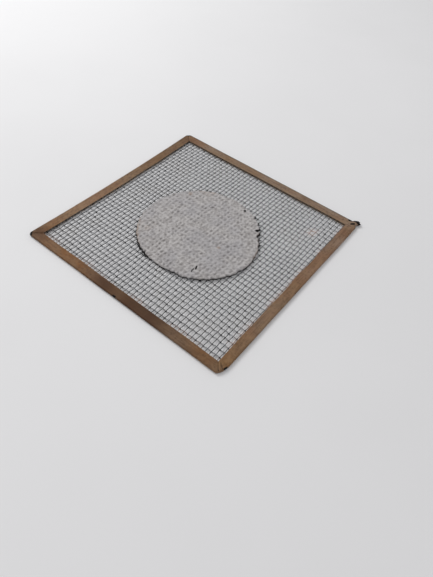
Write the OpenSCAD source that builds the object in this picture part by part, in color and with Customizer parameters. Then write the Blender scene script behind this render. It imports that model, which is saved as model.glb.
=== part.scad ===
// Wire gauze: a square of woven wire cloth in a folded sheet-metal binding, with a round
// ceramic pad pressed through the cloth. It lies flat, and vessels stand on the pad.
// Millimetres, +Z up. The origin is at the centre of the binding's underside.

/* [Binding] */
// Length of each side of the square
side = 150; // [120:1:200]
// Width of the folded strip on three sides
strip_w = 6.1; // [5:0.1:9]
// Width of the strip on the -X side, where it was folded wider
wide_strip_w = 6.8; // [5:0.1:9]
// Thickness of the strip's sheet metal
sheet_t = 0.4; // [0.3:0.05:0.6]
// How far the middle of the -X side is bent inwards
bow = 1.1; // [0:0.1:2]

/* [Wire cloth] */
// Diameter of the wire
wire_d = 0.5; // [0.3:0.05:0.6]
// Spacing of the warp wires, which run along Y
warp_pitch = 2.72; // [2:0.01:4]
// Spacing of the weft wires, which run along X
weft_pitch = 3.7; // [2.5:0.01:5]
// How far a wire's end stays inside the outer edge of the binding
end_inset = 2; // [1.6:0.1:3]

/* [Ceramic pad] */
// Mean radius of the pad
pad_r = 39.6; // [30:0.1:45]
// Ceramic above the wires
coat_above = 0.85; // [0.4:0.05:1.5]
// Ceramic below the wires
coat_below = 0.3; // [0.2:0.05:0.35]
// Where the pad's centre lies, off the middle of the cloth
pad_at = [0.9, -1.5];

/* [Hidden] */

half = side / 2;

// A wire is drawn with a square section of the same area as the round one.
wire_w = wire_d * sqrt(PI) / 2;
// Clear space between two wires where they cross
cross_gap = 0.02;
// Height of a wire's crest over its middle line. A zigzag wire falls away from its crest
// across the other wire's width, so the crests stand a little further apart than wire_w.
crest = (wire_w + cross_gap) / 2 / (1 - wire_w / 2 * (1 / warp_pitch + 1 / weft_pitch));
cloth_t = 2 * crest + wire_w;

// Room between the cloth and the folded strip, above and below
fold_gap = 0.06;
binding_t = cloth_t + 2 * fold_gap + 2 * sheet_t;
mid_z = binding_t / 2;

// Each set of wires is symmetrical about the middle of the cloth. The outermost wire of
// each set lies inside the fold of the binding.
hidden_reach = half - end_inset - 2;
warp_n = 2 * floor(hidden_reach / warp_pitch) + 1;
weft_n = 2 * floor(hidden_reach / weft_pitch) + 1;

// Outer corners, anticlockwise from +X+Y: radius of each
corner_r = [4, 4.2, 2, 7];
corner_steps = 6;
bow_steps = 12;

// Depth, width and end margins of the crease where the strip folds round a corner
crease_d = 0.12;
crease_w = 0.25;
crease_margin = 0.5;

// The strip's end is crumpled into a short tongue with a rolled tip, across the +X+Y corner.
tongue_l = 3.8;
tongue_w = 2.8;
tongue_t = 1.1;
tongue_tilt = 5;
roll_d = 1.9;
roll_l = 2.6;

// How far the rim stands outside pad_r: [angle, distance]. Between two angles it is straight.
rim = [
    [0, 0.6], [18, -1], [27, -2], [37, -2], [50, -1.3], [105, -1.2], [150, -0.4], [180, 0], [210, 0.6],
    [230, 0.6], [245, 0.2], [262, -0.8], [287, -1], [294, 0.4], [330, 1], [345, 1], [360, 0.6]
];
// Height and number of the small waves round the rim
rim_wave = 0.15;
rim_waves = 17;
// Chips in the pad's rim: [angle, radius, depth]
chips = [[33, 2.1, 1], [41.5, 1.2, 1.6]];
rim_step = 3;
// Clear space between a wire and the ceramic around it
pad_gap = 0.04;

// Height over the chord, at y, of a side bent inwards by its bow between -reach and reach
function bow_at(y, reach) = bow * max(0, 1 - pow(y / reach, 2));

// Points round one outer corner, starting at angle a0. Its square corner is at c.
function corner(c, r, a0) =
    let (centre = c - r * [sign(c[0]), sign(c[1])])
    [for (i = [0:corner_steps])
        let (a = a0 + 90 * i / corner_steps) centre + r * [cos(a), sin(a)]];

// Outline of the binding, drawn in by inset all round
function outline(inset) =
    let (
        h = half - inset,
        r = [for (x = corner_r) x - inset],
        reach = h - max(r[1], r[2])
    )
    concat(
        corner([h, h], r[0], 0),
        corner([-h, h], r[1], 90),
        [for (i = [0:bow_steps])
            let (y = reach * (1 - 2 * i / bow_steps)) [-h + bow_at(y, reach), y]],
        corner([-h, -h], r[2], 180),
        corner([h, -h], r[3], 270)
    );

// Outline of the square opening that the binding leaves
function opening() =
    let (h = half - strip_w)
    concat(
        [[h, -h], [h, h]],
        [for (i = [0:bow_steps])
            let (y = h * (1 - 2 * i / bow_steps)) [wide_strip_w - half + bow_at(y, h), y]]
    );

// A crease across the corner in quadrant q, cut into both faces of the strip. It stops
// short of the opening and of the outer corner.
module crease(q) {
    inner = half - strip_w;
    length = (half - inner) * sqrt(2) - corner_r[q] * (sqrt(2) - 1) - 2 * crease_margin;
    for (z = [0, binding_t])
        rotate([0, 0, 45 + 90 * q])
            translate([inner * sqrt(2) + crease_margin, -crease_w / 2, z - crease_d])
                cube([length, crease_w, 2 * crease_d]);
}

// The crumpled end of the strip
module tongue() {
    tip = half * sqrt(2);
    rotate([0, 0, 45]) {
        translate([tip - tongue_l, -tongue_w / 2, mid_z - tongue_t / 2 - 0.3])
            rotate([0, -tongue_tilt, 0])
                cube([tongue_l, tongue_w, tongue_t]);
        translate([tip, 0, mid_z + 0.2])
            rotate([90, 0, 0])
                cylinder(h = roll_l, d = roll_d, center = true, $fn = 32);
    }
}

// One strip of sheet metal, folded over the edge of the cloth along all four sides
module edge_binding() {
    color("rosybrown")
        union() {
            difference() {
                linear_extrude(height = binding_t)
                    difference() {
                        polygon(outline(0));
                        polygon(opening());
                    }
                // inside of the fold, open towards the middle
                translate([0, 0, sheet_t])
                    linear_extrude(height = binding_t - 2 * sheet_t)
                        polygon(outline(sheet_t));
                for (q = [1:3])
                    crease(q);
            }
            tongue();
        }
}

// Middle line of a crimped wire along X, over and under n crossings. The first crest is
// up when first is 1 and down when it is -1, and both ends come back to the middle.
function crimped(n, pitch, first) =
    concat(
        [[end_inset - half, 0]],
        [for (i = [0:n - 1])
            [(i - (n - 1) / 2) * pitch, (i % 2 == 0 ? first : -first) * crest]],
        [[half - end_inset, 0]]
    );

// One crimped wire along X
module wire(n, pitch, first) {
    line = crimped(n, pitch, first);
    last = len(line) - 1;
    band = concat(
        [for (i = [0:last]) line[i] + [0, wire_w / 2]],
        [for (i = [last:-1:0]) line[i] - [0, wire_w / 2]]
    );
    rotate([90, 0, 0])
        linear_extrude(height = wire_w, center = true)
            polygon(band);
}

// Wires along Y, each crossing every weft wire
module warp_wires() {
    color("dimgray")
        for (k = [0:warp_n - 1])
            translate([(k - (warp_n - 1) / 2) * warp_pitch, 0, mid_z])
                rotate([0, 0, 90])
                    wire(weft_n, weft_pitch, k % 2 == 0 ? 1 : -1);
}

// Wires along X, each going under a warp wire where that one is up
module weft_wires() {
    color("gray")
        for (k = [0:weft_n - 1])
            translate([0, (k - (weft_n - 1) / 2) * weft_pitch, mid_z])
                wire(warp_n, warp_pitch, k % 2 == 0 ? -1 : 1);
}

// Radius of the pad at angle a
function pad_radius(a) = pad_r + lookup(a, rim) + rim_wave * cos(rim_waves * a);

// Plan of the straight channels round the wires along X, under the pad
module channels(n, pitch) {
    for (k = [0:n - 1]) {
        y = (k - (n - 1) / 2) * pitch;
        if (abs(y) < pad_r + 3)
            translate([0, y])
                square([side, wire_w + 2 * pad_gap], center = true);
    }
}

// Fired ceramic, pressed through the openings of the cloth onto both of its faces
module ceramic_pad() {
    bottom = mid_z - cloth_t / 2 - coat_below;
    color("lightgray")
        difference() {
            translate([pad_at[0], pad_at[1], bottom])
                linear_extrude(height = coat_below + cloth_t + coat_above)
                    difference() {
                        polygon([for (a = [0:rim_step:359]) pad_radius(a) * [cos(a), sin(a)]]);
                        for (c = chips)
                            rotate([0, 0, c[0]])
                                translate([pad_radius(c[0]) + c[1] - c[2], 0])
                                    circle(r = c[1], $fn = 24);
                    }
            // room for the wires
            translate([0, 0, mid_z])
                linear_extrude(height = cloth_t + 2 * pad_gap, center = true) {
                    rotate(90)
                        channels(warp_n, warp_pitch);
                    channels(weft_n, weft_pitch);
                }
        }
}

edge_binding();
warp_wires();
weft_wires();
ceramic_pad();
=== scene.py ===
# %% [markdown]
# # A wire gauze, from wire to fired pad
#
# This lesson dresses a laboratory wire gauze: a square of woven wire cloth, a strip of thin sheet
# metal folded over its edge, and a round pad of ceramic pressed through the middle. The construction
# comes in as a fixed frame with true sizes. Each piece is then modelled again with the marks of use,
# inside the space that the frame gives it.

# %% Load the frame
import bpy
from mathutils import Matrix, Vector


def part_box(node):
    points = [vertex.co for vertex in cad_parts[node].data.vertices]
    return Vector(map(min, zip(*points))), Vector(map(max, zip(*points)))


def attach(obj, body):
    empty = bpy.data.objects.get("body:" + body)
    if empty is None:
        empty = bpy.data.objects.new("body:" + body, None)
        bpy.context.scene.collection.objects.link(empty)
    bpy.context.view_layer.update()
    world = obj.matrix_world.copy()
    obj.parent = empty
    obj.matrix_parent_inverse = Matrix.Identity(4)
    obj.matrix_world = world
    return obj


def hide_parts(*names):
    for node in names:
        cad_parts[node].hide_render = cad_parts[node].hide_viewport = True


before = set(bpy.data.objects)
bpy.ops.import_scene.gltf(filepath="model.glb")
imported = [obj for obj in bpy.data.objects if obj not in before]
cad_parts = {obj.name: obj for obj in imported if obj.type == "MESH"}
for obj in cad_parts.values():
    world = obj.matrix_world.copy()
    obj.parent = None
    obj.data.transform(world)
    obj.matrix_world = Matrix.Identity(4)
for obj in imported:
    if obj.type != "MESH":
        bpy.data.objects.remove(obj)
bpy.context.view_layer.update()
print("frame nodes:", ", ".join(sorted(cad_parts)))

# %% [markdown]
# The frame is in metres, and the gauze is a thing of millimetres, so all the sizes below are written in
# millimetres and turned into metres once, when a mesh is made. numpy does the arithmetic for the
# hundred thousand points of the wires, which would be slow one by one.

# %% Tools and units
import math

import bpy
import numpy as np
from mathutils import Matrix, Vector

MM = 0.001


def box_mm(node):
    """Lowest and highest corner of a frame node, in millimetres."""
    low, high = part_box(node)
    return np.array(low) / MM, np.array(high) / MM


binding_low = box_mm("edge_binding")[0]
warp_low, warp_high = box_mm("warp_wires")
weft_low, weft_high = box_mm("weft_wires")
pad_low, pad_high = box_mm("ceramic_pad")

half_side = -binding_low[0]
cloth_z = (warp_low[2] + warp_high[2]) / 2
binding_top = 2 * cloth_z
wire_reach = warp_high[1]
print(f"side {2 * half_side:.1f} mm, binding {binding_top:.2f} mm thick, cloth at {cloth_z:.2f} mm")

# %% [markdown]
# ## The camera and the light
#
# The camera looks down on one corner of the square, from about 27 cm away. Its place, the point it
# looks at and a small roll are enough to fix it, and they read more easily than a matrix.
#
# The light is a big soft source on the -X side, which throws short shadows towards +X, and a pale sky
# that fills them. The floor is plain and pale.

# %% Camera
camera_at = Vector((134.3, -176.3, 211.9)) * MM
camera_aim = Vector((38.0, -31.6, 0.9)) * MM
camera_roll = math.radians(6.31)


def aimed(obj, target, roll=0.0):
    """Turn an object so that its -Z axis points at target, then roll it about that axis."""
    look = (target - obj.location).to_track_quat("-Z", "Y").to_matrix().to_4x4()
    obj.matrix_world = (
        Matrix.Translation(obj.location) @ look @ Matrix.Rotation(roll, 4, "Z")
    )


camera_data = bpy.data.cameras.new("camera")
camera_data.sensor_width = 36
camera_data.lens = 29.53
camera_data.clip_start = 0.01
camera = bpy.data.objects.new("camera", camera_data)
camera.location = camera_at
bpy.context.scene.collection.objects.link(camera)
aimed(camera, camera_aim, camera_roll)
bpy.context.scene.camera = camera
print(f"camera {(camera_at - camera_aim).length:.3f} m from what it looks at, lens {camera_data.lens} mm")

# %% Light
def soft_light(name, place, size, watts):
    """A square area light at place, in metres, facing the middle of the gauze."""
    data = bpy.data.lights.new(name, "AREA")
    data.size = size
    data.energy = watts
    light = bpy.data.objects.new(name, data)
    light.location = place
    bpy.context.scene.collection.objects.link(light)
    aimed(light, Vector((0, 0, 0)))


soft_light("key", Vector((-0.80, 0.10, 0.72)), 0.45, 5.3)

world = bpy.data.worlds.new("pale_room")
world.use_nodes = True
world.node_tree.nodes["Background"].inputs["Color"].default_value = (0.97, 0.965, 0.985, 1)
world.node_tree.nodes["Background"].inputs["Strength"].default_value = 0.59
bpy.context.scene.world = world
bpy.context.scene.view_settings.view_transform = "Standard"
print("one key light, and a pale sky all round")

# %% [markdown]
# ## Effects that several finishes share
#
# Three things happen to every surface here: it has a fine grain, it is patchy, and soot or rust lies on
# parts of it. Each is a node group with named inputs, so that a finish only sets its own values.
# A group gives out only masks, heights and colours, and the Principled BSDF stays in the finish.

# %% Helpers for node trees
def new_group(name, inputs, outputs):
    """An empty node group, and the sockets at its two ends. inputs maps a name to (type, default)."""
    tree = bpy.data.node_groups.new(name, "ShaderNodeTree")
    for key, (kind, value) in inputs.items():
        socket = tree.interface.new_socket(key, in_out="INPUT", socket_type="NodeSocket" + kind)
        if value is not None:
            socket.default_value = value
    for key, kind in outputs.items():
        tree.interface.new_socket(key, in_out="OUTPUT", socket_type="NodeSocket" + kind)
    return tree, tree.nodes.new("NodeGroupInput").outputs, tree.nodes.new("NodeGroupOutput").inputs


def feed(tree, socket, value):
    """Link value to a socket if it is a socket itself, and set it there if it is a number or a colour."""
    if isinstance(value, bpy.types.NodeSocket):
        tree.links.new(value, socket)
    else:
        socket.default_value = value


def fill(tree, sockets, values):
    """Feed several sockets. _0 is the first one, and Some_Name is the one with that name."""
    for key, value in values.items():
        feed(tree, sockets[int(key[1:]) if key[0] == "_" else key.replace("_", " ")], value)


def node(tree, kind, settings=None, **inputs):
    """A node with its settings and inputs."""
    made = tree.nodes.new("ShaderNode" + kind)
    for key, value in (settings or {}).items():
        setattr(made, key, value)
    fill(tree, made.inputs, inputs)
    return made


# %% Masks and blends
def maths(tree, operation, a, b, clamp=False):
    """The result of one arithmetic step."""
    return node(tree, "Math", {"operation": operation, "use_clamp": clamp}, _0=a, _1=b).outputs[0]


def part_of(tree, mask, share):
    """A mask made weaker: share times as strong."""
    return maths(tree, "MULTIPLY", mask, share)


def between(tree, value, low, high):
    """value taken smoothly from 0 at low to 1 at high."""
    step = node(tree, "MapRange", {"interpolation_type": "SMOOTHSTEP"}, Value=value)
    feed(tree, step.inputs["From Min"], low)
    feed(tree, step.inputs["From Max"], high)
    return step.outputs[0]


def blend(tree, mask, a, b):
    """Colour a where mask is 0 and colour b where it is 1."""
    mix = node(tree, "Mix", {"data_type": "RGBA"})
    # a Mix node has sockets for every kind of value: 6, 7 and output 2 are the colours
    for index, value in ((0, mask), (6, a), (7, b)):
        feed(tree, mix.inputs[index], value)
    return mix.outputs[2]


# %% Groups and colours in a tree
def use(tree, group, **inputs):
    """A node group placed in a tree, with its inputs set or linked."""
    made = tree.nodes.new("ShaderNodeGroup")
    made.node_tree = group
    fill(tree, made.inputs, inputs)
    return made.outputs


def srgb(r, g, b):
    """A colour named by its 0-255 screen values, as the linear RGBA that shaders take."""
    def linear(v):
        v = v / 255
        return v / 12.92 if v <= 0.04045 else ((v + 0.055) / 1.055) ** 2.4

    return (linear(r), linear(g), linear(b), 1.0)


# %% [markdown]
# ### Patches
#
# Colour on used metal and fired clay changes in clouds with soft edges. A cloud texture has no edges at
# all, so it is cut between two levels: close together they give clear patches, far apart a soft haze.

# %% Group: patches
patches, given, result = new_group(
    "Patches",
    {"Vector": ("Vector", None), "Scale": ("Float", 5.0), "Low": ("Float", 0.45), "High": ("Float", 0.6)},
    {"Mask": "Float"},
)
cloud = node(patches, "TexNoise", Vector=given["Vector"], Scale=given["Scale"], Detail=4.0, Roughness=0.6)
feed(patches, result["Mask"], between(patches, cloud.outputs["Fac"], given["Low"], given["High"]))
print("group", patches.name)

# %% [markdown]
# ### Grain
#
# Nothing here is polished. A fine noise and one about five times as coarse, mixed, give a height for a
# Bump node. One noise alone would look even, like sandpaper.

# %% Group: grain
grain, given, result = new_group(
    "Grain",
    {"Vector": ("Vector", None), "Scale": ("Float", 900.0), "Coarse share": ("Float", 0.5)},
    {"Height": "Float"},
)
fine = node(grain, "TexNoise", Vector=given["Vector"], Scale=given["Scale"], Detail=3.0, Roughness=0.7)
coarse_scale = maths(grain, "MULTIPLY", given["Scale"], 0.22)
coarse = node(grain, "TexNoise", Vector=given["Vector"], Scale=coarse_scale, Detail=2.0)
mixed = node(
    grain, "Mix", {"data_type": "FLOAT"}, _0=given["Coarse share"],
    _2=fine.outputs["Fac"], _3=coarse.outputs["Fac"],
)
feed(grain, result["Height"], mixed.outputs[0])
print("group", grain.name)

# %% [markdown]
# ### Deposit
#
# Soot, rust and stains lie on top of a surface, and where they are thin they break up into specks.
# So the amount, painted on the mesh, isn't used as a plain mix: a speckle is taken off it first.

# %% Group: deposit
deposit, given, result = new_group(
    "Deposit",
    {
        "Base": ("Color", (0.5, 0.5, 0.5, 1)),
        "Deposit": ("Color", (0.02, 0.02, 0.02, 1)),
        "Amount": ("Float", 0.0),
        "Vector": ("Vector", None),
        "Scale": ("Float", 400.0),
    },
    {"Color": "Color", "Mask": "Float"},
)
speckle = node(deposit, "TexNoise", Vector=given["Vector"], Scale=given["Scale"], Detail=3.0)
# the specks only show where some deposit lies: amount 0 stays clean and amount 1 is covered
speckle_depth = 0.6
ragged = maths(
    deposit, "SUBTRACT", part_of(deposit, given["Amount"], 1 + speckle_depth),
    part_of(deposit, speckle.outputs["Fac"], speckle_depth), clamp=True,
)
covered = between(deposit, ragged, 0.0, 0.6)
feed(deposit, result["Color"], blend(deposit, covered, given["Base"], given["Deposit"]))
feed(deposit, result["Mask"], covered)
print("group", deposit.name)

# %% Helpers for finishes
def new_finish(name):
    """A material with an empty tree, its Principled BSDF, and object coordinates in metres."""
    material = bpy.data.materials.new(name)
    material.use_nodes = True
    tree = material.node_tree
    surface = tree.nodes["Principled BSDF"]
    place = tree.nodes.new("ShaderNodeTexCoord").outputs["Object"]
    return material, tree, surface, place


def painted(tree, name, kind="Fac"):
    """A value from 0 to 1 that was stored on the mesh's points, or with kind Vector a place."""
    return node(tree, "Attribute", {"attribute_name": name}).outputs[kind]


def patchy(tree, place, scale, low, high):
    """A mask of soft patches."""
    return use(tree, patches, Vector=place, Scale=scale, Low=low, High=high)["Mask"]


def laid_on(tree, place, base, colour, mark, scale):
    """The colour base with a deposit on it, as much as mark says, which was painted on the mesh."""
    return use(tree, deposit, Base=base, Deposit=colour, Amount=painted(tree, mark),
               Vector=place, Scale=scale)


def cover(tree, surface, place, grain_scale, coarse_share, grain_height, **inputs):
    """Fill the Principled BSDF's inputs, and let a grain raise it by up to grain_height metres."""
    fill(tree, surface.inputs, inputs)
    height = use(tree, grain, Vector=place, Scale=grain_scale, Coarse_share=coarse_share)["Height"]
    bump = node(tree, "Bump", Height=height, Distance=grain_height, Strength=1.0)
    feed(tree, surface.inputs["Normal"], bump.outputs["Normal"])


# %% [markdown]
# ### Heat-tinted strip
#
# The binding is thin plated steel that has been over a flame many times. Heat has left it copper brown,
# redder in some places and greyer in others, in long soft patches that follow the strip. For these the
# mesh stores where each point would be if the strip were bent into a ring: patches and streaks can
# then follow it whichever way a side runs, with no seam. Soot darkens the corner tips and the crumpled
# end, painted shade darkens the creases and the outside of the fold, and the inside of the fold is
# painted light.

# %% Finish: heat-tinted strip
strip_finish, tree, surface, place = new_finish("heat_tinted_strip")
strip_place = painted(tree, "strip_place", "Vector")

reddish = patchy(tree, strip_place, 16.0, 0.42, 0.66)
greyish = patchy(tree, place, 34.0, 0.47, 0.72)
golden = patchy(tree, strip_place, 40.0, 0.5, 0.75)
tone = blend(tree, reddish, srgb(131, 104, 78), srgb(134, 95, 68))
tone = blend(tree, part_of(tree, greyish, 0.4), tone, srgb(104, 90, 78))
tone = blend(tree, part_of(tree, golden, 0.5), tone, srgb(136, 106, 64))
tone = blend(tree, painted(tree, "bare"), tone, srgb(147, 129, 112))
tone = blend(tree, painted(tree, "gold"), tone, srgb(134, 88, 42))
# squeezed 14 times across the strip, a noise turns into streaks along it
squeezed = node(tree, "Mapping", Vector=strip_place, Scale=(1.0, 1.0, 14.0)).outputs[0]
streaks = node(tree, "TexNoise", Vector=squeezed, Scale=90.0, Detail=3.0).outputs["Fac"]
tone = blend(tree, part_of(tree, between(tree, streaks, 0.45, 0.65), 0.4), tone, srgb(88, 63, 43))
mottle = patchy(tree, place, 260.0, 0.42, 0.66)
tone = blend(tree, part_of(tree, mottle, 0.42), tone, srgb(148, 120, 90))
tone = blend(tree, painted(tree, "scorch"), tone, srgb(64, 40, 25))
specks = patchy(tree, place, 720.0, 0.5, 0.68)
tone = blend(tree, part_of(tree, specks, 0.45), tone, srgb(72, 53, 38))
# painted light on the inside of the fold, which lies in shade
tone = blend(tree, painted(tree, "fold_inside_light"), tone, srgb(176, 160, 142))
# soot on the tips and the crumpled end, with painted shade in the creases and along the outer fold
sooted_and_shaded = laid_on(tree, place, tone, srgb(24, 21, 20), "soot_and_shade", 700.0)
rough = maths(tree, "ADD", 0.58, part_of(tree, greyish, 0.15))
rough = maths(tree, "ADD", rough, part_of(tree, sooted_and_shaded["Mask"], 0.3))
cover(tree, surface, place, 1500.0, 0.5, 0.00003,
      Base_Color=sooted_and_shaded["Color"], Metallic=0.25, Specular_IOR_Level=0.2, Roughness=rough)
print("finish", strip_finish.name)

# %% [markdown]
# ### Oxidised wire
#
# The wire is plain steel gone dark grey in the flame. No two wires have quite the same tone, and on top
# of that the wires along Y are painted darker and those along X lighter, as painted shade and light.
# Where they cross, painted shade darkens the corner between them, and soot lies on a few knots. Near the
# binding on the +X and -Y sides a painted reflection of the strip turns the wires pinkish brown, and in
# one patch they have rusted pinkish brown.

# %% Finish: oxidised wire
wire_finish, tree, surface, place = new_finish("oxidised_wire")
# painted light and shade: the wires along Y take the dark end of this range and those along X the light end
tone = blend(tree, painted(tree, "wire_tone_and_light"), srgb(48, 48, 51), srgb(158, 159, 162))
dulled = patchy(tree, place, 45.0, 0.45, 0.65)
tone = blend(tree, part_of(tree, dulled, 0.5), tone, srgb(104, 98, 92))
# pinkish: a painted reflection of the strip near the binding, and rust in one patch
rust_and_reflection_tone = laid_on(tree, place, tone, srgb(176, 148, 136), "rust_and_reflection", 220.0)
# soot on the knots and round the pad, and painted shade at the crossings
sooted_and_shaded = laid_on(tree, place, rust_and_reflection_tone["Color"], srgb(22, 22, 24), "soot_and_shade", 500.0)
rough = maths(tree, "ADD", 0.42, part_of(tree, sooted_and_shaded["Mask"], 0.35))
cover(tree, surface, place, 4000.0, 0.4, 0.00002, Base_Color=sooted_and_shaded["Color"], Metallic=0.5, Roughness=rough)
print("finish", wire_finish.name)

# %% [markdown]
# ### Fired ceramic
#
# The pad is a pale grey paste that was pressed into the cloth and fired. It is dry and matt, mottled at
# the size of the openings, with painted shade in the hollows of the weave's print, brownish where flame
# licked round it, and black in its cracks and pinholes.

# %% Finish: fired ceramic
ceramic_finish, tree, surface, place = new_finish("fired_ceramic")
mottle = patchy(tree, place, 640.0, 0.36, 0.62)
cloudy = patchy(tree, place, 60.0, 0.4, 0.65)
tone = blend(tree, mottle, srgb(156, 152, 150), srgb(192, 189, 187))
tone = blend(tree, part_of(tree, cloudy, 0.35), tone, srgb(160, 159, 164))
# painted shade in the hollows of the weave's print
tone = blend(tree, part_of(tree, painted(tree, "hollow"), 0.7), tone, srgb(104, 100, 98))
stained = laid_on(tree, place, tone, srgb(160, 141, 126), "stain", 300.0)
# soot, with painted shade on the rim's wall
sooted_and_shaded = laid_on(tree, place, stained["Color"], srgb(30, 28, 28), "soot_and_shade", 900.0)
cover(tree, surface, place, 2600.0, 0.6, 0.0003,
      Base_Color=sooted_and_shaded["Color"], Roughness=0.92, Specular_IOR_Level=0.25)
print("finish", ceramic_finish.name)

# %% [markdown]
# ## The floor
#
# The gauze lies on a plain pale floor, which isn't part of it. It could be a curved studio
# sweep, but one large plane shows the same shadows. It lies a twentieth of a millimetre lower than the
# binding, so that no two faces share a place.

# %% Finish: floor
floor_finish, tree, surface, place = new_finish("pale_floor")
floor_shade = patchy(tree, place, 3.0, 0.3, 0.7)
floor_tone = blend(tree, floor_shade, srgb(233, 233, 233), srgb(237, 237, 237))
fill(tree, surface.inputs, {"Base_Color": floor_tone, "Roughness": 0.9})
print("finish", floor_finish.name)

# %% Floor
floor_drop = 0.00005
bpy.ops.mesh.primitive_plane_add(size=4, location=(0, 0, -floor_drop))
floor = bpy.context.object
floor.name = "floor"
floor.data.materials.append(floor_finish)
print("floor", floor_drop, "m under the binding")

# %% [markdown]
# ## Making a mesh from arrays
#
# Every piece below works out its points in millimetres, as one numpy array, with its faces as another.
# One helper turns them into a Blender object, stores the painted values on the points, and smooths the
# shading except across sharp edges.

# %% From arrays to a piece
def make_piece(name, points, faces, finish, values=None, sharp=50):
    """A smooth-shaded object. points are in mm, and values maps an attribute's name to one value a point."""
    mesh = bpy.data.meshes.new(name)
    mesh.from_pydata((np.asarray(points) * MM).tolist(), [], faces)
    for key, numbers in (values or {}).items():
        numbers = np.asarray(numbers, np.float32)
        kind, field = ("FLOAT", "value") if numbers.ndim == 1 else ("FLOAT_VECTOR", "vector")
        mesh.attributes.new(key, kind, "POINT").data.foreach_set(field, numbers.ravel())
    mesh.materials.append(finish)
    mesh.shade_smooth()
    mesh.set_sharp_from_angle(angle=math.radians(sharp))
    mesh.validate()
    obj = bpy.data.objects.new(name, mesh)
    bpy.context.scene.collection.objects.link(obj)
    triangles = sum(len(p.vertices) - 2 for p in mesh.polygons)
    print(f"{name}: {len(mesh.vertices)} points, {triangles} triangles")
    return obj


# %% Random fields and soft spots
def ripple(seed, wavelengths, count=7):
    """A smooth random field over the plane, about -1 to 1: a few crossing waves with seeded directions."""
    rng = np.random.default_rng(seed)
    angle = rng.uniform(0, 2 * np.pi, count)
    size = rng.uniform(*wavelengths, count)
    phase = rng.uniform(0, 2 * np.pi, count)

    def field(x, y):
        total = sum(
            np.sin(2 * np.pi * (x * np.cos(a) + y * np.sin(a)) / s + p)
            for a, s, p in zip(angle, size, phase)
        )
        return total / math.sqrt(2 * count)

    return field


def bell(distance, width):
    """1 at distance 0, falling smoothly to nothing by about twice the width."""
    return np.exp(-((distance / width) ** 2))


def spot(x, y, at, reach):
    """A soft round spot: a bell round the place at."""
    return bell(np.hypot(x - at[0], y - at[1]), reach)


# %% [markdown]
# ## The wire cloth
#
# A plain weave: each wire goes over one and under the next, and its neighbour does the opposite. Once
# made, the cloth was cut, pushed and heated, so the wires wander. If each wire wandered by itself, they
# would pass through each other. So there is one drift field for the whole cloth. It moves both sets of
# wires alike, and every crossing stays a crossing.
#
# Each wire could be a curve with a bevel, but 92 curves of a thousand points each are slow to
# convert. A tube swept in numpy is quick, and its rings can be placed where the crimps need them.

# %% Cloth layout
warp_pitch = 2.72
weft_pitch = 3.70
wire_d = 0.5
weave_clearance = 0.03
crimp = wire_d + weave_clearance
weft_share = 0.74


def centred(low, high, pitch):
    """Evenly spaced places between two limits, symmetrical about 0."""
    n = round((high - low - wire_d) / pitch) + 1
    return (np.arange(n) - (n - 1) / 2) * pitch


warp_x = centred(warp_low[0], warp_high[0], warp_pitch)
weft_y = centred(weft_low[1], weft_high[1], weft_pitch)
print(f"{len(warp_x)} wires along Y, {len(weft_y)} along X, openings about "
      f"{warp_pitch - wire_d:.1f} by {weft_pitch - wire_d:.1f} mm")

# %% Drift of the cloth
slow_x, slow_y = ripple(11, (45, 90)), ripple(12, (45, 90))
quick_x, quick_y = ripple(13, (14, 26)), ripple(14, (14, 26))
bulge_at = (52.0, 8.0)
bulge_r = 20
held_edge = 6
freeing = 14


def drift(x, y):
    """How far the cloth has moved sideways at a place, in mm. It is held still near the binding."""
    free = np.clip((half_side - held_edge - np.maximum(abs(x), abs(y))) / freeing, 0, 1)
    bulge = spot(x, y, bulge_at, bulge_r)
    dx = 0.45 * slow_x(x, y) + 0.14 * quick_x(x, y) + 0.7 * bulge
    dy = 0.45 * slow_y(x, y) + 0.16 * quick_y(x, y) + 0.5 * bulge * np.sin(x / 9)
    return free * dx, free * dy


drifted = np.hypot(*drift(*np.meshgrid(warp_x, weft_y)))
print(f"the cloth has moved by up to {drifted.max():.2f} mm")

# %% [markdown]
# Where two wires cross, one bends round the other, or both bend a little. In this cloth the wires along
# X bend most, so from above they show as a row of short arches that catch the light, and the wires along
# Y as long lines in shade. The painted tones make the arches lighter and the lines darker still. The two
# shares always add up to a wire's thickness and a little air, so the wires never pass through each
# other. Pressed in the fold of the binding, both sets bend alike.

# %% Who takes the crimp
pressed_edge = 9
easing = 3


def crimp_share(x, y, along_y):
    """Share of the crimp that one set of wires takes. Inside the binding's fold both take half."""
    open_cloth = np.clip((half_side - pressed_edge - np.maximum(abs(x), abs(y))) / easing, 0, 1)
    weft = 0.5 + (weft_share - 0.5) * open_cloth
    return 1 - weft if along_y else weft


print(f"in the open cloth the wires along X take {crimp_share(0, 0, False):.0%} of the crimp")

# %% Sweeping a wire
rings_per_crossing = 6
wire_sides = 6
# the outermost wires lie inside the fold, and stop short of the creases pressed in its corners
corner_reach = half_side - 6.7
own_wander = 0.06


def tube(line, radius, sides, first_index):
    """Points and faces of a closed tube along a line of points, with faces counted from first_index."""
    ahead = np.gradient(line, axis=0)
    ahead /= np.linalg.norm(ahead, axis=1)[:, None]
    side = np.cross(ahead, [0, 0, 1])
    side /= np.linalg.norm(side, axis=1)[:, None]
    up = np.cross(side, ahead)
    turn = 2 * np.pi * (np.arange(sides) + 0.5) / sides
    ring = np.cos(turn)[None, :, None] * side[:, None] + np.sin(turn)[None, :, None] * up[:, None]
    points = (line[:, None] + radius * ring).reshape(-1, 3)
    rows = np.arange(len(line) - 1)[:, None] * sides + first_index
    here, there = np.arange(sides), (np.arange(sides) + 1) % sides
    quads = np.stack([rows + here, rows + sides + here, rows + sides + there, rows + there], -1)
    faces = quads.reshape(-1, 4).tolist()
    last = first_index + (len(line) - 1) * sides
    faces += [list(range(first_index, first_index + sides)), list(range(last + sides - 1, last - 1, -1))]
    return points, faces


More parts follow.
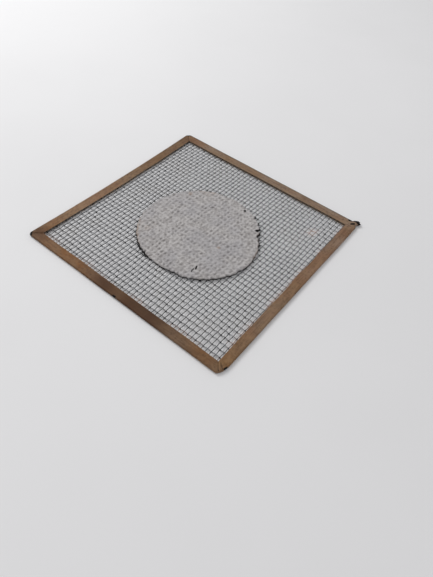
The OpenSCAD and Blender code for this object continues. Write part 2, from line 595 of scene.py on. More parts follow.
# %% Weaving one set of wires
def weave(name, places, crossings, along_y, parity):
    """All the wires of one direction as one piece. parity says whether the first crossing is up or down."""
    rng = np.random.default_rng(21 if along_y else 22)
    pitch = crossings[1] - crossings[0]
    steps = int(2 * wire_reach / pitch * rings_per_crossing)
    points, faces, tone, soot_and_shade, rust_and_reflection = [], [], [], [], []
    for k, place in enumerate(places):
        reach = corner_reach if k in (0, len(places) - 1) else wire_reach
        run = np.linspace(-reach, reach, steps)
        own = own_wander * ripple(100 * (1 + along_y) + k, (9, 30), 4)(run, 0 * run)
        x, y = (0 * run + place, run) if along_y else (run, 0 * run + place)
        dx, dy = drift(x, y)
        phase = (run - (dy if along_y else dx) - crossings[0]) / pitch
        lift = parity * (-1) ** k * np.cos(np.pi * phase)
        z = cloth_z + crimp * crimp_share(x, y, along_y) * lift
        line = np.stack([x + dx + own * along_y, y + dy + own * (not along_y), z], -1)
        line[:, int(along_y)] = run
        tube_points, tube_faces = tube(line, wire_d / 2, wire_sides, sum(map(len, points)))
        points.append(tube_points)
        faces += tube_faces
        tone.append(np.full(len(tube_points), rng.uniform(*tone_and_light_range[along_y])))
        soot_and_shade.append(cloth_soot_and_shade(tube_points, np.repeat(lift, wire_sides), along_y))
        rust_and_reflection.append(cloth_rust_and_reflection(tube_points))
    values = {"wire_tone_and_light": tone, "soot_and_shade": soot_and_shade, "rust_and_reflection": rust_and_reflection}
    values = {key: np.concatenate(parts) for key, parts in values.items()}
    return make_piece(name, np.concatenate(points), faces, wire_finish, values)


# %% [markdown]
# The marks on the wires depend on where the pad ends, so its outline is settled here. The paste was
# spread by hand, and it stopped at one wire here and at the next wire there. Its rim is straight
# between a few places, ragged at the size of the openings, and chipped in two.

# %% Outline of the pad
pad_r = 39.6
pad_at = np.array([0.9, -1.5])
# How far the paste reached beyond pad_r: angle in degrees, distance in mm
rim_reach = [
    (0, 0.6), (18, -1), (27, -2), (37, -2), (50, -1.3), (105, -1.2), (150, -0.4), (180, 0), (210, 0.6),
    (230, 0.6), (245, 0.4), (262, -0.4), (287, -0.6), (294, 0.9), (330, 1.4), (345, 1.3), (360, 0.6),
]
# Chips: angle in degrees, half the width and depth in mm
pad_chips = [(33, 1.6, 1.0), (41.5, 0.8, 1.6)]
rim_noise = ripple(71, (2.2, 6.0), 12)
rim_raggedness = 0.22
rim_sag = 0.5


def weave_print(x, y):
    """0 over the wires and 1 in the middle of an opening, following the drift of the cloth."""
    dx, dy = drift(x, y)
    over_warp = 0.5 - 0.5 * np.cos(2 * np.pi * (x - dx - warp_x[0]) / warp_pitch)
    over_weft = 0.5 - 0.5 * np.cos(2 * np.pi * (y - dy - weft_y[0]) / weft_pitch)
    return over_warp ** 1.7 * over_weft ** 0.9


# %% The rim of the pad
def pad_radius(a):
    """Radius of the pad at angle a, in radians: its reach, ragged between the wires, and two chips."""
    degrees = np.degrees(a) % 360
    r = pad_r + np.interp(degrees, *np.transpose(rim_reach))
    x, y = pad_at[0] + r * np.cos(a), pad_at[1] + r * np.sin(a)
    r = r + rim_raggedness * rim_noise(x, y) + rim_sag * (0.3 - weave_print(x, y))
    for a0, size, depth in pad_chips:
        r = r - depth * bell((degrees - a0) * np.pi / 180 * pad_r, size)
    return r


def pad_polar(x, y):
    """Distance from the pad's rim, positive inside it, and the angle round the pad."""
    a = np.arctan2(y - pad_at[1], x - pad_at[0])
    return pad_radius(a) - np.hypot(x - pad_at[0], y - pad_at[1]), np.degrees(a) % 360


all_round = pad_radius(np.radians(np.arange(360)))
print(f"pad radius from {all_round.min():.1f} to {all_round.max():.1f} mm")

# %% [markdown]
# The marks on the wires are painted at the same time. Painted shade gathers at the crossings, more in
# some parts of the cloth than in others, and soot lies on a few knots and round the pad's rim where the
# flame has burnt it. The pinkish tint along the binding on the +X and -Y sides is a painted reflection
# of the strip, and the one patch towards the +X+Y corner is rust.

# %% Marks on the wires
# How light the wires are, from 0 to 1: those along Y first, then those along X. Within a set it differs at
# random, and the gap between the sets is painted shade on the wires along Y and painted light on those along
# X
tone_and_light_range = {True: (0.05, 0.35), False: (0.65, 1.0)}
# Knots: crossings where a crumb of soot has stuck, as x, y and strength
knot_n = 70
knot_r = 0.55
knot_rng = np.random.default_rng(33)
knot_i = knot_rng.integers(0, len(warp_x), knot_n)
knot_j = knot_rng.integers(0, len(weft_y), knot_n)
knots = []
for i, j, size in zip(knot_i, knot_j, knot_rng.uniform(0.4, 1, knot_n)):
    knot_dx, knot_dy = drift(warp_x[i], weft_y[j])
    knots.append((warp_x[i] + knot_dx, weft_y[j] + knot_dy, size))
# patches where the painted shade at the crossings is heavier
crossing_shade_field = ripple(31, (12, 40))
rust_and_reflection_field = ripple(32, (10, 30))
rust_patch = (57.0, 48.0)
rust_patch_r = 7
reflection_band = 5.5
print(f"{len(knots)} sooty knots")


# %% Where the flame burnt the rim
def rim_burn(angle):
    """How black the flame has burnt the pad's rim, from 0 to 1, by the angle round it in degrees."""
    burns = [
        (0, 0.3), (16, 0.4), (22, 1), (60, 1), (66, 0.15), (103, 0.15), (109, 0.7), (150, 0.7), (172, 0.6),
        (190, 0.2), (212, 0.4), (230, 0.7), (243, 1.1), (250, 1.1), (262, 0.4), (360, 0.3),
    ]
    flicker = 0.8 + 0.4 * np.sin(angle * 1.9) * np.sin(angle * 0.7)
    return np.interp(angle, *np.transpose(burns)) * flicker


def rim_skirt(angle):
    """How far burnt paste stands out under the rim, in mm: a ragged skirt round the lowest wires."""
    reach = [
        (0, 0), (18, 0.2), (24, 0.9), (60, 0.9), (64, 0), (104, 0), (110, 0.7), (168, 0.7), (174, 0.1),
        (212, 0.1), (225, 0.4), (240, 0.8), (250, 0.8), (258, 0.2), (264, 0), (360, 0),
    ]
    # two waves that never line up make it ragged, and where they cancel it is gone
    ragged = 0.6 + 0.4 * np.sin(angle * 1.45) + 0.3 * np.sin(angle * 0.83 + 1)
    return np.interp(angle, *np.transpose(reach)) * np.clip(ragged, 0, 1.2)


# %% Soot and rust on the wires
def cloth_soot_and_shade(points, lift, along_y):
    """Painted shade at the crossings, heavier in patches, and soot on a few knots and round the pad's rim.
    """
    x, y = points[:, 0], points[:, 1]
    patch = np.clip(0.75 + 0.5 * crossing_shade_field(x, y), 0, 1)
    # painted shade: the wires along Y darken where they cross, and those along X where they dip under
    crossing_shade = abs(lift) ** 8 if along_y else np.clip(-lift, 0, 1) ** 3
    rim, angle = pad_polar(x, y)
    burnt = rim_burn(angle)
    knot = sum(size * spot(x, y, (kx, ky), knot_r) for kx, ky, size in knots)
    return np.clip(crossing_shade * patch + knot + burnt * bell(rim + 0.2, 2.1), 0, 1)


def cloth_rust_and_reflection(points):
    """Pinkish tint: a painted reflection of the strip near the binding, and rust in one patch."""
    x, y = points[:, 0], points[:, 1]
    # painted reflection of the binding's brown on the wires next to its +X and -Y sides
    to_binding = half_side - 6.5 - np.maximum(x, -y)
    edge = np.clip(1 - to_binding / reflection_band, 0, 1) * 0.6
    patch = spot(x, y, rust_patch, rust_patch_r) * 0.55
    return np.clip((edge + patch) * (0.65 + 0.5 * rust_and_reflection_field(x, y)), 0, 1)


# %% Weave both sets of wires
warp = weave("warp_cloth_wires", warp_x, weft_y, True, 1)
weft = weave("weft_cloth_wires", weft_y, warp_x, False, -1)
for piece, cad_node in ((warp, "warp_wires"), (weft, "weft_wires")):
    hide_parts(cad_node)
    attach(piece, "root")

# %% [markdown]
# ## The binding
#
# The binding is one strip, folded over the cloth's edge like a U, and turned at the corners with mitred
# folds. It is swept here. Each station round the square has a point on the outer outline and a
# point on the edge of the opening, and the U-shaped section is stretched between the two. At a corner
# the outer points go round while the inner ones stay, so the stations spread like a fan, and a crease
# along one of them is a true mitre.

# %% Outline of the binding
strip_w = 6.1
bow = 1.1
sheet_t = 0.4
lip_t = 0.3
fold_reach = 0.62
inner_corner_r = 0.3

# Corners anticlockwise from +X+Y: length cut off the side before it and after it, and how straight
# the cut is, from 0 for a round corner to 1 for a plain clip.
corners = [(4.6, 4.2, 0.5), (2.6, 2.6, 0.7), (1.3, 1.3, 0.6), (3.4, 8.6, 0.12)]
# Corners of the opening. The strip is wider on the -X side, and no two corners were folded alike.
opening = np.array([(68.5, 68.4), (-68.4, 68.3), (-68.8, -68.9), (68.9, -69.0)])
fan_angles = sorted({*range(0, 91, 3), 40.5, 43.5, 44.4, 45.6, 46.5, 49.5})
station_gap = 1.6
print(f"opening {np.ptp(opening[:, 0]):.1f} by {np.ptp(opening[:, 1]):.1f} mm")


def corner_stations(q):
    """Outer and inner points of the fan at corner q."""
    before, after, flatness = corners[q]
    turn = np.array([[math.cos(q * np.pi / 2), -math.sin(q * np.pi / 2)],
                     [math.sin(q * np.pi / 2), math.cos(q * np.pi / 2)]])
    a = np.radians(fan_angles)
    # in the corner's own axes the strip comes up along +Y on the +X side and leaves along -X
    arc = half_side - np.stack([after * (1 - np.cos(a)), before * (1 - np.sin(a))], -1)
    share = np.array(fan_angles)[:, None] / 90
    chord = arc[0] * (1 - share) + arc[-1] * share
    outer = arc * (1 - flatness) + chord * flatness
    inner = opening[q] + inner_corner_r * (np.stack([np.cos(a), np.sin(a)], -1) - 1) @ turn.T
    return outer @ turn.T, inner


def bowed(points):
    """Bend the -X side of an outline inwards, most in its middle."""
    x, y = points.T
    push = bow * np.clip(1 - (y / (half_side - 4)) ** 2, 0, 1) * np.clip((-x - 60) / 6, 0, 1)
    return np.stack([x + push, y], -1)


# %% Stations round the square
outer_points, inner_points = [], []
for q in range(4):
    outer, inner = corner_stations(q)
    next_outer, next_inner = corner_stations((q + 1) % 4)
    n = int(np.linalg.norm(next_outer[0] - outer[-1]) / station_gap)
    share = (np.arange(1, n) / n)[:, None]
    outer_points += [outer, outer[-1] * (1 - share) + next_outer[0] * share]
    inner_points += [inner, inner[-1] * (1 - share) + next_inner[0] * share]
outer_line = bowed(np.concatenate(outer_points))
inner_line = bowed(np.concatenate(inner_points))
along = np.concatenate([[0], np.cumsum(np.linalg.norm(np.diff(outer_line, axis=0), axis=1))])
print(f"{len(outer_line)} stations, {along[-1]:.0f} mm of strip")

# %% [markdown]
# The section is a list of places across the strip. It starts at the lip underneath, goes out to the
# fold, round it, back to the lip on top, and then the same way back on the inside of the sheet.
# The small faults of a hand-folded strip come in as heights: a slow wave along each side, lips that
# have sprung open a little at the two far sides, and creases where the corners were mitred. One
# corner has a pleat, with a crease on each side of it, because there was more sheet than it needed.

# %% Faults of the strip
flat_places = np.array([0, 0.05, 0.12, 0.2, 0.3, 0.4, 0.5, 0.6, 0.68, 0.76, 0.84, 0.9, 0.95, 0.985, 1])
fold_turns = np.radians(np.linspace(0, 180, 13))[1:-1]
wave_out, wave_in = ripple(41, (18, 60)), ripple(44, (12, 40))
wave_top, wave_lip = ripple(42, (9, 35)), ripple(43, (8, 30))
dimples = ripple(45, (3, 8), 12)

# Each crease is a line in mm, with its depth and half its width.
creases = [
    ([(-69.0, -69.1), (-74.4, -74.2)], 0.32, 0.42),
    ([(-68.6, 68.5), (-73.6, 73.4)], 0.32, 0.42),
    ([(69.0, -69.2), (72.4, -73.4)], 0.32, 0.45),
    ([(70.6, -69.0), (73.6, -71.4)], 0.3, 0.42),
    ([(68.9, 68.6), (71.3, 71.2)], 0.22, 0.4),
    ([(71.0, 67.6), (72.9, 71.2)], 0.3, 0.4),
]
pleat = [(70.0, -69.4), (73.2, -72.3)]
pleat_height, pleat_half_width = 0.12, 0.5
# How much lower the strip's upper face is at the lip than at the fold
lip_drop = 0.14
lip_spring = 0.07
print(f"{len(creases)} creases and a pleat")


def to_line(x, y, line):
    """Distance from each place to a line of points."""
    best = np.full(np.shape(x), 1e9)
    for (x0, y0), (x1, y1) in zip(line, line[1:]):
        dx, dy = x1 - x0, y1 - y0
        t = np.clip(((x - x0) * dx + (y - y0) * dy) / (dx * dx + dy * dy), 0, 1)
        best = np.minimum(best, np.hypot(x - x0 - t * dx, y - y0 - t * dy))
    return best


# %% Heights of the strip
def lip_lift(x, y):
    """How far the upper lip has sprung open: most towards the +Y end of -X and the +X end of +Y."""
    far_left = (x < -60) * np.clip((y + 75) / 110, 0.15, 1) * np.clip((66 - abs(y)) / 12, 0, 1)
    far_right = (y > 60) * np.clip((x + 75) / 110, 0.15, 1) * np.clip((66 - abs(x)) / 12, 0, 1)
    return lip_spring * (far_left + far_right) * (1 + 0.5 * wave_lip(x, y))


def top_height(x, y, f):
    """Height of the strip's upper face at a place that is the share f across it."""
    z = binding_top - lip_drop * f + 0.05 * wave_top(x, y) * np.sin(np.pi * min(1, 1.3 * f))
    z = z + lip_lift(x, y) * f ** 2 + 0.015 * dimples(x, y)
    for line, depth, half_width in creases:
        z = z - depth * bell(to_line(x, y, line), half_width) * min(1, 4 * f + 0.2)
    return z + pleat_height * bell(to_line(x, y, pleat), pleat_half_width) * min(1, 4 * f)


# %% Sweep the strip
inward = inner_line - outer_line
inward /= np.linalg.norm(inward, axis=1)[:, None]
outer_line = outer_line + inward * (0.05 + 0.08 * wave_out(*outer_line.T))[:, None]
inner_line = inner_line + inward * (0.16 * wave_in(*inner_line.T))[:, None]
width = np.linalg.norm(inner_line - outer_line, axis=1)
columns, shares, inside = [], [], []


# %% Section of the strip
def place(distance):
    """Where a distance across the strip lies, at every station."""
    return (outer_line + inward * np.reshape(distance * np.ones(len(width)), (-1, 1))).T


def put(distance, z, share, inner=0):
    """Add one point of the section at every station: its distance from the outer edge and its height."""
    x, y = place(distance)
    columns.append(np.stack([x, y, np.maximum(z, 0) + 0 * x], -1))
    shares.append(share)
    inside.append(inner)


def flat(f):
    """Distance from the outer edge to the share f across the flat part."""
    return fold_reach + (width - fold_reach) * f


# underneath, from the lip to the fold
for f in flat_places[::-1]:
    put(flat(f), 0.04 * (1 - f) * (f > 0.5), -f)
# round the fold
fold_top = top_height(*place(flat(0)), 0)
for turn in fold_turns:
    put(fold_reach * (1 - math.sin(turn)), fold_top / 2 * (1 - math.cos(turn)), 0)
# on top, from the fold to the lip
for f in flat_places:
    put(flat(f), top_height(*place(flat(f)), f), f)
# back inside: the ceiling keeps clear of the wires, and the sheet is never thinner than thinnest
ceiling = binding_top - sheet_t - 0.02
thinnest = 0.15
for f in flat_places[::-1]:
    top = top_height(*place(flat(f)), f)
    thick = sheet_t + (lip_t - sheet_t) * f
    put(flat(f), np.minimum(np.maximum(top - thick, ceiling), top - thinnest), f, 1)
hollow_reach = fold_reach - sheet_t * 0.6
for turn in fold_turns[::-2]:
    middle = fold_top / 2
    put(fold_reach - hollow_reach * math.sin(turn), middle - (middle - sheet_t) * math.cos(turn), 0, 1)
for f in flat_places:
    put(flat(f), sheet_t, -f, 1)

# %% Faces of the strip
strip_points = np.stack(columns, 1)
strip_across = np.tile(shares, (len(strip_points), 1))
station_n, ring_n = strip_points.shape[:2]
strip_faces = [
    (
        k * ring_n + i,
        (k + 1) % station_n * ring_n + i,
        (k + 1) % station_n * ring_n + (i + 1) % ring_n,
        k * ring_n + (i + 1) % ring_n,
    )
    for k in range(station_n)
    for i in range(ring_n)
]
print(f"{station_n} stations of {ring_n} points")

# %% [markdown]
# The strip's two ends meet at the +X+Y corner. The end that was left over was pinched flat and rolled
# down on itself, and its tip has burnt black. It is a short folded sheet of its own shape, crumpled
# by a seeded noise, and it grows out of the corner as part of the same strip.

# %% Crumpled end
# Along the corner's diagonal: distance past the square corner, height, half width, and sideways place.
tongue_path = np.array([
    (-7.6, 1.66, 2.7, 0.0), (-5.8, 1.92, 2.6, 0.2), (-4.2, 2.05, 2.3, 0.5), (-2.8, 2.1, 2.1, 0.8),
    (-1.4, 2.06, 1.8, 1.0), (-0.1, 2.06, 1.55, 1.15), (0.9, 1.8, 1.35, 1.2), (1.2, 1.25, 1.25, 1.2),
    (0.9, 0.7, 1.2, 1.2), (0.1, 0.45, 1.15, 1.15), (-0.9, 0.5, 1.05, 1.1), (-1.8, 0.85, 0.95, 1.0),
])
tongue_steps, tongue_across = 46, np.linspace(-1, 1, 13)


def smooth_path(values, steps):
    """Rows of values spread to more rows along a Catmull-Rom curve."""
    padded = np.concatenate([2 * values[:1] - values[1:2], values, 2 * values[-1:] - values[-2:-1]])
    out = []
    for t in np.linspace(0, len(values) - 1 - 1e-9, steps):
        i, u = int(t), t - int(t)
        a, b, c, d = padded[i:i + 4]
        out.append(0.5 * (2 * b + (c - a) * u + (2 * a - 5 * b + 4 * c - d) * u ** 2
                          + (3 * b - a - 3 * c + d) * u ** 3))
    return np.array(out)


# %% Mesh of the crumpled end
def tongue_mesh():
    """The crumpled end as a closed sheet: its upper skin, its lower skin and the rim between them."""
    path = smooth_path(tongue_path, tongue_steps)
    ahead = np.gradient(path[:, :2], axis=0)
    ahead /= np.linalg.norm(ahead, axis=1)[:, None]
    out_dir = np.stack([-ahead[:, 1], ahead[:, 0]], -1)
    crumple, wiggle = ripple(51, (1.4, 3.6)), ripple(52, (2.0, 5.0))
    diagonal = half_side * math.sqrt(2)
    dent_depth, edge_wiggle, crown = 0.15, 0.12, 0.12
    points = []
    for offset in (0.0, -sheet_t * 0.8):
        for step, ((u, z, half_width, sideways), (nu, nz)) in enumerate(zip(path, out_dir)):
            s = 12 * step / len(path)
            for t in tongue_across:
                dent = dent_depth * crumple(s, 2 * t) * min(1, s / 2)
                side = sideways + t * half_width * (1 + edge_wiggle * wiggle(s, 3 * t))
                d = diagonal + u + nu * (offset + dent)
                height = z + nz * (offset + dent) - crown * t * t
                points.append(((d - side) / math.sqrt(2), (d + side) / math.sqrt(2), max(height, 0.05)))
    rows, cols = len(path), len(tongue_across)
    skin = rows * cols
    faces = []
    for r in range(rows - 1):
        for c in range(cols - 1):
            quad = [r * cols + c, r * cols + c + 1, (r + 1) * cols + c + 1, (r + 1) * cols + c]
            faces.append(quad[::-1])
            faces.append([i + skin for i in quad])
    rim = list(range(cols)) + [r * cols + cols - 1 for r in range(1, rows)]
    rim += [(rows - 1) * cols + c for c in range(cols - 2, -1, -1)]
    rim += [r * cols for r in range(rows - 2, 0, -1)]
    for a, b in zip(rim, rim[1:] + rim[:1]):
        faces.append([a, b, b + skin, a + skin])
    return np.array(points), faces


tongue_points, tongue_faces = tongue_mesh()
print(f"crumpled end: {len(tongue_points)} points")

# %% [markdown]
# What the flame and the years have done to the strip is painted on its points, as values from 0 to 1
# that the finish turns into colour. A drawing wrapped round the strip could do it too, but it would
# have to be made first. The marks are few, soft and round, so a list of places says it all. The flame stood
# nearest to the middle of the -Y side, which is burnt dark brown. Towards the +Y side the strip has
# stayed cooler and has worn to a paler grey brown. The outside of its fold is darkened with painted
# shade, and so are the creases, while the inside of the fold is painted light.

# %% Marks on the strip
# Soot: a line in mm, how far it spreads, and how strong it is.
soot_marks = [
    ([(-75.0, -74.4), (-74.2, -75.0)], 1.2, 1.6),
    ([(-74.4, 73.0), (-72.9, 74.5)], 0.7, 0.9),
    ([(74.1, -70.6), (74.6, -69.2)], 0.3, 1.1),
    ([(73.5, 76.4), (75.7, 75.7)], 1.6, 1.9),
    ([(68.6, 73.4), (73.6, 77.2)], 0.6, 0.8),
    ([(71.3, 71.4), (72.4, 72.4)], 0.7, 1.4),
    ([(-1.8, -74.6), (-0.9, -74.6)], 0.38, 0.9),
]
# The other marks are round: place and reach in mm, and strength. First the burnt places,
scorch_marks = [
    ((18, -72), 22, 0.8), ((-14, -72), 14, 0.6), ((-50, -72), 20, 0.2), ((-68, -72), 8, 0.25),
    ((-72, -68), 8, 0.35), ((-72, 28), 14, 0.2), ((-72, 50), 14, 0.12), ((-72, 68), 8, 0.35),
]
# then the golden tint next to them,
gold_marks = [
    ((-68, -72), 9, 0.4), ((-52, -72), 12, 0.55), ((-34, -72), 14, 0.6), ((-10, -72), 14, 0.4),
    ((10, -72), 12, 0.3), ((56, -72), 14, 0.35), ((-72, -62), 9, 0.4), ((72, -64), 9, 0.3),
    ((72, 62), 9, 0.15),
]
# and the places worn pale.
bare_marks = [
    ((-48, 72), 15, 0.7), ((-5, 72), 30, 0.5), ((33, 72), 28, 0.6), ((66, 72), 14, 0.6),
    ((44, -72.5), 7, 0.5), ((-71, -30), 20, 0.15), ((-71, 0), 16, 0.2), ((72, -30), 14, 0.45),
    ((72, 10), 22, 0.25), ((72, 54), 26, 0.45),
]
# painted shade along the outside of the fold and in the creases
fold_shade_wave = ripple(46, (2.5, 8), 9)
fold_base, fold_extra, fold_width = 0.15, 0.3, 0.1
crease_shade = 0.36
print(len(soot_marks + scorch_marks + gold_marks + bare_marks), "marks on the strip")


# %% How the marks add up
def spots(x, y, marks):
    """The sum of round soft marks, each given by its place, its reach and its strength."""
    return sum(amount * spot(x, y, at, reach) for at, reach, amount in marks)


def strip_marks(points, across):
    """Soot and painted shade, scorch, bare metal and gold tint at each point of the strip, each from 0 to 1.
    """
    x, y, z = points.T
    soot_and_shade = sum(amount * bell(to_line(x, y, line), reach) for line, reach, amount in soot_marks)
    # painted shade in the creases of the mitred corners
    for line, _, half_width in creases:
        soot_and_shade = soot_and_shade + crease_shade * bell(to_line(x, y, line), 0.9 * half_width) * (z > 1)
    # painted shade along the outside of the fold, heavier on the +Y and -X sides
    far_fold = np.clip((y - 72) / 2, 0, 1) + 0.5 * np.clip((-72 - x) / 2, 0, 1)
    fold = fold_base + fold_extra * np.clip(far_fold, 0, 1) * (1 + 0.2 * fold_shade_wave(x, y))
    fold = fold * bell(across, fold_width) * (z > 0.2)
    scorch = spots(x, y, scorch_marks) * (0.97 + 0.12 * wave_lip(x, y)) + 0.1 * (y < -67.5)
    bare = spots(x, y, bare_marks) * (0.8 + 0.4 * wave_top(x, y))
    gold = spots(x, y, gold_marks) * (0.85 + 0.4 * wave_lip(x, y))
    return [np.clip(v, 0, 1) for v in (soot_and_shade + fold, scorch, bare, gold)]


# %% Join the strip and its crumpled end
strip_n = station_n * ring_n
tongue_station = 20
all_points = np.concatenate([strip_points.reshape(-1, 3), tongue_points])
all_across = np.concatenate([strip_across.ravel(), np.full(len(tongue_points), 0.4)])
soot_and_shade, scorch, bare, gold = strip_marks(all_points, all_across)
# painted light: the inside of the fold lies in shade, and is given a light colour
fold_inside_light = np.concatenate([np.tile(inside, station_n), np.zeros(len(tongue_points))])
all_along = np.concatenate([np.repeat(along, ring_n), along[tongue_station] + tongue_points[:, 2]])
strip_turn = 2 * np.pi * all_along / along[-1]
ring_r = along[-1] / (2 * np.pi)
# where each point would be if the strip were bent into a ring, standing on its edge
ring_x, ring_y = ring_r * np.cos(strip_turn), ring_r * np.sin(strip_turn)
ring_place = np.stack([ring_x, ring_y, strip_w * all_across], -1) * MM
binding = make_piece(
    "folded_binding", all_points, strip_faces + [[i + strip_n for i in f] for f in tongue_faces],
    strip_finish,
    {"strip_place": ring_place, "soot_and_shade": soot_and_shade, "scorch": scorch, "bare": bare, "gold": gold,
     "fold_inside_light": fold_inside_light},
)
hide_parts("edge_binding")
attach(binding, "root")

# %% [markdown]
# ## The pad
#
# The paste was pressed through the cloth by hand. Its faces carry the print of the weave: a shallow
# hollow in each opening, and a low ridge over each wire.
#
# A disc could be cut from a grid, but its rim would be stepped. Here a square grid is bent onto the
# disc, so the quads stay even and the last row lies on the rim. Then every point is lifted by the sum
# of the marks that its place calls for.

# %% A square grid bent onto a disc
def disc_grid(n):
    """n by n points of the unit disc, from a square grid. The outermost ring lies on the circle."""
    line = np.linspace(-1, 1, n)
    u, v = np.meshgrid(line, line, indexing="ij")
    x = u * np.sqrt(1 - v ** 2 / 2)
    y = v * np.sqrt(1 - u ** 2 / 2)
    return x.ravel(), y.ravel()


def grid_faces(n, first=0, flip=False):
    """Quads between the points of an n by n grid."""
    i, j = np.meshgrid(np.arange(n - 1), np.arange(n - 1), indexing="ij")
    a = (first + i * n + j).ravel()
    quads = np.stack([a, a + n, a + n + 1, a + 1], -1)
    return (quads[:, ::-1] if flip else quads).tolist()


def grid_rim(n, first=0):
    """Indices round the outside of the grid, anticlockwise seen from above."""
    low = [i * n for i in range(n - 1)]
    right = [(n - 1) * n + j for j in range(n - 1)]
    high = [i * n + n - 1 for i in range(n - 1, 0, -1)]
    left = [j for j in range(n - 1, 0, -1)]
    return [first + k for k in low + right + high + left]


# %% [markdown]
# The pad's marks are worked out from the place alone, so both faces can use them. The print of the
# weave comes first. It is deeper in some openings than in others, and the paste has pulled it a little
# out of line. Then there are warm stains near the rim, a short forked crack, pinholes, and chips
# whose broken edges are black.

# %% Marks on the pad
lump_field = ripple(72, (5, 14), 9)
print_field = ripple(73, (6, 22), 9)
skew_x, skew_y = ripple(76, (4, 11), 9), ripple(77, (4, 11), 9)
table_n = 64
depth_table = np.random.default_rng(78).beta(1.6, 1.4, (table_n, table_n))
shallowest = 0.4
fine_field = ripple(74, (1.1, 2.4), 14)
# Cracks: a line in mm
crack_line = [(19.0, -26.7), (19.5, -27.8), (20.1, -29.0)]
crack_branch = [(18.6, -29.5), (19.3, -30.3), (18.9, -31.1), (19.5, -32.3)]
# Pinholes: x, y and size
pinholes = [(11.0, 32.6, 0.8), (28.9, 22.2, 0.5), (20.4, 6.5, 0.3), (-3.0, 12.5, 0.3), (-14.0, -8.0, 0.3)]
# Stains: place, how far they spread, and how strong they are
stains = [
    ((-28, -24), 15, 0.27), ((37, 3), 8, 0.22), ((-27.4, 20.6), 2.6, 0.35), ((-18, 29), 9, 0.3),
    ((19, -6), 2.2, 0.4), ((30, 18), 7, 0.15),
]
print(f"{len(stains)} stains, {len(pinholes)} pinholes, {len(pad_chips)} chips")


# %% How the marks of the pad add up
def cell_depth(x, y):
    """How deep the paste sank in the opening at a place, up to 1. No two openings are alike."""
    dx, dy = drift(x, y)
    i = np.floor((x - dx - warp_x[0]) / warp_pitch).astype(int)
    j = np.floor((y - dy - weft_y[0]) / weft_pitch).astype(int)
    return shallowest + (1 - shallowest) * depth_table[i % table_n, j % table_n]


def pad_marks(x, y):
    """Hollow, stain, soot and distance from the rim at each place on the pad."""
    rim, angle = pad_polar(x, y)
    hollow = weave_print(x + 0.3 * skew_x(x, y), y + 0.45 * skew_y(x, y))
    hollow = hollow * cell_depth(x, y) * np.clip(0.8 + 0.4 * print_field(x, y), 0.2, 1)
    stain = spots(x, y, stains) + 0.2 * np.clip(1 - rim / 1.5, 0, 1)
    soot_and_shade = 1.4 * bell(to_line(x, y, crack_line), 0.33) + 1.0 * bell(to_line(x, y, crack_branch), 0.25)
    soot_and_shade = soot_and_shade + 0.5 * rim_burn(angle) * bell(rim, 0.45)
    for px, py, size in pinholes:
        soot_and_shade = soot_and_shade + 1.4 * spot(x, y, (px, py), size)
    for a0, size, depth in pad_chips:
        notch = np.radians(a0)
        broken = pad_at + (pad_radius(notch) + 0.2) * np.array([math.cos(notch), math.sin(notch)])
        soot_and_shade = soot_and_shade + 1.0 * spot(x, y, broken, 1.0)
    return np.clip(hollow, 0, 1), np.clip(stain, 0, 1), np.clip(soot_and_shade, 0, 1), rim


# %% [markdown]
# A face of the pad is the bent grid, stretched to the outline and sunk by its marks, with an edge that
# rounds over. The underside is flatter, and its burnt skirt reaches out under the rim. Between the two
# faces stands a low wall: it stays as wide as the underside at first, then steps in to the upper face,
# which leaves the skirt as a thin black ledge.

# %% Shape the pad
grid_n = 200
top_z, under_z = pad_high[2], pad_low[2]


def pad_face(base, sign, roundness, relief):
    """One face of the pad, with its marks. sign is 1 for the top and -1 for the underside."""
    u, v = disc_grid(grid_n)
    a = np.arctan2(v, u)
    skirt = rim_skirt(np.degrees(a) % 360) * (sign < 0)
    r = np.hypot(u, v) * (pad_radius(a) + skirt)
    x, y = pad_at[0] + r * np.cos(a), pad_at[1] + r * np.sin(a)
    hollow, stain, soot_and_shade, rim = pad_marks(x, y)
    edge = np.clip(rim / roundness, 0, 1)
    fall = 1 - np.sqrt(np.clip(1 - (1 - edge) ** 2, 0, 1))
    depth = relief * (0.75 * hollow + 0.1 * (0.5 - 0.5 * lump_field(x, y)) + 0.05 * fine_field(x, y))
    depth = np.clip(depth + 0.35 * relief * soot_and_shade, 0, 1)
    z = base - sign * (depth + 0.62 * roundness * fall)
    return np.stack([x, y, z], -1), hollow, stain, soot_and_shade


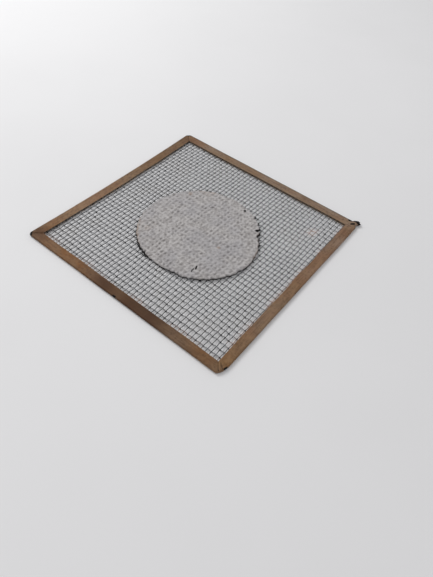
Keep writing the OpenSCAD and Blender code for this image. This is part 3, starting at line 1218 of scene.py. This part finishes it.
top_points, *top_marks = pad_face(top_z, 1, 0.75, 1.0)
under_points, *under_marks = pad_face(under_z, -1, 0.4, 0.5)
print(f"pad from {under_z:.2f} to {top_z:.2f} mm")

# %% Join the two faces with the rim's wall
wall_rows = 4
face_size = grid_n * grid_n
rim_top = grid_rim(grid_n)
rim_under = grid_rim(grid_n, face_size)
# how dark the rim's wall is painted, as painted shade
wall_shade = 0.55
wall_noise = ripple(75, (1.5, 4.0), 12)

points = [top_points, under_points]
marks = [[a, b] for a, b in zip(top_marks, under_marks)]
levels = [rim_under]
for row in range(1, wall_rows):
    share = row / wall_rows
    low, high = under_points[np.array(rim_under) - face_size], top_points[rim_top]
    ring = low * (1 - share) + high * share
    narrow = np.clip((share - 0.3) / 0.3, 0, 1)
    ring[:, :2] = low[:, :2] * (1 - narrow) + high[:, :2] * narrow
    out = ring[:, :2] - pad_at
    out /= np.linalg.norm(out, axis=1)[:, None]
    swell = 0.12 * math.sin(math.pi * share) + 0.1 * wall_noise(*(ring[:, :2] + 3 * row).T)
    ring[:, :2] += out * swell[:, None]
    first = sum(map(len, points))
    points.append(ring)
    skirt = np.hypot(*(low - high)[:, :2].T)
    # painted shade on the wall, with the black of the burnt skirt where it reaches out
    wall_soot_and_shade = np.maximum(top_marks[2][rim_top], wall_shade) + np.clip(0.9 * skirt, 0, 0.6)
    for mark, values in zip(marks, (top_marks[0][rim_top], top_marks[1][rim_top], wall_soot_and_shade)):
        mark.append(values)
    levels.append(list(range(first, first + len(ring))))
levels.append(rim_top)

# %% Faces of the pad
faces = grid_faces(grid_n) + grid_faces(grid_n, face_size, flip=True)
for lower, upper in zip(levels, levels[1:]):
    for k in range(len(lower)):
        after = (k + 1) % len(lower)
        faces.append((lower[k], lower[after], upper[after], upper[k]))
hollow, stain, soot_and_shade = (np.concatenate(mark) for mark in marks)
pad = make_piece(
    "fired_pad", np.concatenate(points), faces, ceramic_finish,
    {"hollow": hollow, "stain": stain, "soot_and_shade": soot_and_shade}, sharp=80,
)
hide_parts("ceramic_pad")
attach(pad, "root")
